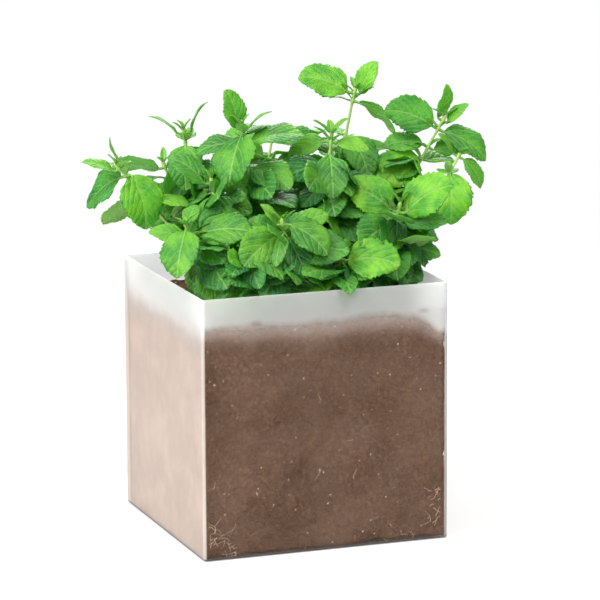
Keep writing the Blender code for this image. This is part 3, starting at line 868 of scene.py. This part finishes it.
def tip_tuft(batch, line, rng, size):
    """The small bright leaves at a shoot's tip: two crossed pairs, one larger than the other."""
    tip, heading = along_line(line, 1.0)
    foot = tip - heading * 0.0022
    turn = rng.uniform(0, math.pi)
    for k in range(4):
        angle = turn + k * math.pi / 2 + rng.uniform(-0.3, 0.3)
        level = level_way(angle) + 0.6 * heading
        length = size * (rng.uniform(0.0050, 0.0085) if k % 2 else rng.uniform(0.0035, 0.0055))
        rise = rng.uniform(0.7, 1.25)
        grown_leaf(batch, foot, level, rise, length, rng, curl=0.5, broad=0.42, young=1.0, fold=0.5)


def axil_leaves(batch, spot, leaves, rng):
    """Small new leaves in the angle between a stem and its leaf pair."""
    chance = 0.6
    for start, end, *_ in leaves:
        if rng.random() < chance:
            way = end - start
            level = level_way(math.atan2(way[1], way[0]) + rng.uniform(-0.5, 0.5))
            length = rng.uniform(0.006, 0.0125)
            rise = rng.uniform(0.6, 1.2)
            grown_leaf(batch, spot, level, rise, length, rng, curl=0.6, broad=0.5, young=0.7, fold=0.4)


def build_plant():
    """Every shoot with its leaf pairs, and then the small leaves, as one piece for each shoot."""
    leaf, stem_look = leaf_material(), stem_material()
    shoots = sorted(n.removeprefix("stem_") for n in NODES if n.startswith("stem_"))
    grown = []
    for number, shoot in enumerate(shoots):
        rng = random.Random(1000 + number)
        line, radii = stem_of("stem_" + shoot)
        shares = []
        small = Batch()
        tip_tuft(small, line, rng, TIP_SIZES.get(shoot, 1.0))
        for name in pairs_of(shoot):
            clasp, leaves = read_pair(name)
            share, spot = nearest_share(line, clasp)
            shares.append(share)
            build_pair(name, leaves, spot, rng, leaf)
            for _, _, centres, _, _ in leaves:
                PLACED.add(centres)
            axil_leaves(small, spot, leaves, rng)
        build_stem(shoot, line, radii, shares, rng, stem_look)
        grown.append((shoot, line, small, rng))
    for lap in range(LAPS):
        lengths = LONG_LEAVES if lap < LONG_LAPS else SHORT_LEAVES
        for _, line, small, rng in grown:
            for share in LEAF_LEVELS:
                fill_leaf(small, line, share + rng.uniform(-0.04, 0.04), lengths, rng)
        if lap == LONG_LAPS - 1:
            for _, line, small, rng in grown:
                wall_leaves(small, line, rng)
    for shoot, _, small, _ in grown:
        piece = small.build("small_leaves_" + shoot, leaf)
        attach(piece, "root")


# ---------------------------------------------------------------- soil


def crumble(place, face):
    """How far the soil stands off its box at a place, by the direction that it faces."""
    top_roughness, wall_and_gap = 3.2, 0.0011
    rough = noise.fractal(place * 140, 0.7, 2.2, 4) * 0.0007 + noise.noise(place * 45) * 0.0006
    reach = 0.0004
    if face.z > 0.5:
        rough *= top_roughness
        reach = 0.004
    elif face.x > 0.3:
        reach = POT_HIGH.x - wall_and_gap - SOIL_HIGH.x
        hollows = abs(noise.noise(place * 90)) * 0.0012
        crumbs = abs(noise.noise(place * 380)) * 0.0014
        rough = reach + 0.0003 - hollows - crumbs
    elif face.x < -0.3 or face.y > 0.3:
        rough = 0.0008 + 0.4 * rough
        reach = 0.0010
    if face.x > 0.3 and face.y < -0.3:
        reach += 0.0005
        rough += 0.0007
    return min(rough, reach)


def build_soil():
    """The crumbly block of soil: a box with rounded edges and a rough face."""
    edge_radius, cuts = 0.0009, 96
    half = (SOIL_HIGH - SOIL_LOW) / 2
    middle = (SOIL_HIGH + SOIL_LOW) / 2
    bm = bmesh.new()
    bmesh.ops.create_cube(bm, size=2.0)
    bmesh.ops.subdivide_edges(bm, edges=bm.edges, cuts=cuts, use_grid_fill=True)
    for vert in bm.verts:
        on_box = Vector([c * h for c, h in zip(vert.co, half)])
        core = Vector([max(-h + edge_radius, min(h - edge_radius, c)) for c, h in zip(on_box, half)])
        face = (on_box - core).normalized()
        place = core + face * edge_radius
        vert.co = middle + place + face * crumble(place, face)
    mesh = bpy.data.meshes.new("soil_crumbs")
    bm.to_mesh(mesh)
    bm.free()
    soil = smooth_object("soil_crumbs", mesh, soil_material())
    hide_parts("soil")
    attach(soil, "root")


def fibre(batch, start, swing, step, rng, pale=0.0):
    """One fine root that wanders over a face of the soil. pale is its least tone."""
    joints = 10
    angle = rng.uniform(0, 2 * math.pi)
    spots = [np.array(start, float)]
    for _ in range(joints - 1):
        angle += rng.uniform(-0.7, 0.7)
        spots.append(spots[-1] + (swing * math.cos(angle) + UP * math.sin(angle)) * step)
    low, high = np.array(SOIL_LOW) + 0.0001, np.array(SOIL_HIGH) - 0.0001
    thick = np.linspace(0.00013, 0.00005, joints)
    tube(batch, np.clip(spots, low, high), thick, sides=5, tone=pale + (1 - pale) * rng.random())


def build_fibres():
    """Root fibres on the soil: scattered in front and at the right, and tufts low at both ends."""
    step, left_step, right_step = 0.0006, 0.0009, 0.0007
    rng = random.Random(5)
    batch = Batch()
    front = SOIL_LOW.y + 0.0001
    wide, tall = SOIL_HIGH.x - SOIL_LOW.x, SOIL_HIGH.z - SOIL_LOW.z
    for _ in range(30):
        height = SOIL_LOW.z + tall * rng.random() ** 2.2
        fibre(batch, (SOIL_LOW.x + wide * rng.random(), front, height), ACROSS, step, rng)
    for _ in range(18):
        height = SOIL_LOW.z + tall * rng.random() ** 2.2
        depth = SOIL_LOW.y + (SOIL_HIGH.y - SOIL_LOW.y) * rng.random()
        fibre(batch, (SOIL_HIGH.x - 0.0003, depth, height), BACK, step, rng)
    for _ in range(26):
        reach = rng.random() ** 1.7
        height = SOIL_LOW.z + 0.0015 + 0.016 * rng.random() * (1 - reach)
        place = (SOIL_LOW.x + 0.0008 + 0.014 * reach, front, height)
        fibre(batch, place, ACROSS, left_step, rng, pale=0.3)
    for _ in range(14):
        height = SOIL_LOW.z + 0.004 + 0.020 * rng.random()
        place = (SOIL_HIGH.x - 0.0010 - 0.005 * rng.random(), front, height)
        fibre(batch, place, ACROSS, right_step, rng, pale=0.5)
    fibres = batch.build("root_fibres", fibre_material())
    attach(fibres, "root")


# ---------------------------------------------------------------- pot, light and camera


def dress_pot():
    """Gives the CAD pot its frosted plastic."""
    pot = NODES["pot"]
    pot.data.materials.clear()
    pot.data.materials.append(plastic_material())


def light_world():
    """A white studio that the camera sees brighter than it lights the plant."""
    light_strength, seen_strength = 0.50, 1.0
    world = bpy.data.worlds.new("studio")
    bpy.context.scene.world = world
    world.use_nodes = True
    tree = world.node_tree
    tree.nodes.clear()
    out = tree.nodes.new("ShaderNodeOutputWorld")
    mix = tree.nodes.new("ShaderNodeMixShader")
    path = tree.nodes.new("ShaderNodeLightPath")
    tree.links.new(path.outputs["Is Camera Ray"], mix.inputs[0])
    for slot, strength in ((1, light_strength), (2, seen_strength)):
        background = tree.nodes.new("ShaderNodeBackground")
        background.inputs["Color"].default_value = (1.0, 1.0, 1.0, 1.0)
        background.inputs["Strength"].default_value = strength
        tree.links.new(background.outputs[0], mix.inputs[slot])
    tree.links.new(mix.outputs[0], out.inputs["Surface"])


def lay_floor():
    """A sheet of white paper just below the pot, which fades out so that no horizon shows."""
    paper_grey, paper_glow = 0.62, 0.10
    fade_start, fade_end = 0.30, 0.75
    floor_mesh = bpy.data.meshes.new("floor")
    bm = bmesh.new()
    bmesh.ops.create_grid(bm, x_segments=2, y_segments=2, size=1.2)
    bm.to_mesh(floor_mesh)
    bm.free()
    floor = bpy.data.objects.new("floor", floor_mesh)
    floor.location.z = -0.0001
    bpy.context.scene.collection.objects.link(floor)
    n = Nodes("white_floor")
    inputs = {
        "Base Color": (paper_grey,) * 3,
        "Roughness": 0.9,
        "Specular IOR Level": 0.0,
        "Emission Color": (1.0, 1.0, 1.0),
        "Emission Strength": paper_glow,
    }
    paper = n.new("BsdfPrincipled", inputs)
    reach = n.new("VectorMath", {0: n.place()}, operation="LENGTH").outputs["Value"]
    clear = n.new("BsdfTransparent")
    fade = n.ramp(reach, fade_start, fade_end)
    sheet = n.new("MixShader", {0: fade, 1: paper.outputs[0], 2: clear.outputs[0]})
    floor_mesh.materials.append(n.finish(sheet.outputs[0]))


def lamp(name, place, size, power):
    """A round lamp that points at the plant's middle. power is in watts."""
    target = Vector((0.0, 0.0, 0.11))
    data = bpy.data.lights.new(name, "AREA")
    data.shape = "DISK"
    data.size = size
    data.energy = power
    obj = bpy.data.objects.new(name, data)
    obj.location = place
    obj.rotation_euler = (target - Vector(place)).to_track_quat("-Z", "Y").to_euler()
    bpy.context.scene.collection.objects.link(obj)


def light_scene():
    """The white studio, its floor and three soft lamps, the strongest from the left."""
    light_world()
    lay_floor()
    lamp("key", (-1.25, -0.35, 1.05), 1.4, 44.0)
    lamp("back", (0.5, 1.2, 1.0), 1.0, 22.0)
    lamp("fill", (0.1, -0.9, 1.6), 1.0, 24.0)


def place_camera():
    """The photo's camera, as it was fitted to the six corners of the pot that can be seen."""
    yaw, elevation, tilt = math.radians(-19.98), math.radians(11.51), math.radians(-0.298)
    distance = 1.7196
    target = Vector((0.0086, 0.0, 0.1061))
    level = math.cos(elevation)
    back = Vector((math.sin(yaw) * level, -math.cos(yaw) * level, math.sin(elevation)))
    right = Vector((math.cos(yaw), math.sin(yaw), 0.0))
    up = back.cross(right)
    turned = right * math.cos(tilt) + up * math.sin(tilt)
    upright = up * math.cos(tilt) - right * math.sin(tilt)
    data = bpy.data.cameras.new("camera")
    data.lens = 218.57
    data.sensor_width = 36.0
    data.clip_start = 0.05
    camera = bpy.data.objects.new("camera", data)
    turn = Matrix((turned, upright, back)).transposed()
    camera.matrix_world = Matrix.Translation(target + back * distance) @ turn.to_4x4()
    bpy.context.scene.collection.objects.link(camera)
    bpy.context.scene.camera = camera


build_plant()
build_soil()
build_fibres()
dress_pot()
light_scene()
place_camera()
bpy.context.scene.view_settings.view_transform = "Standard"
bpy.context.scene.view_settings.look = "None"
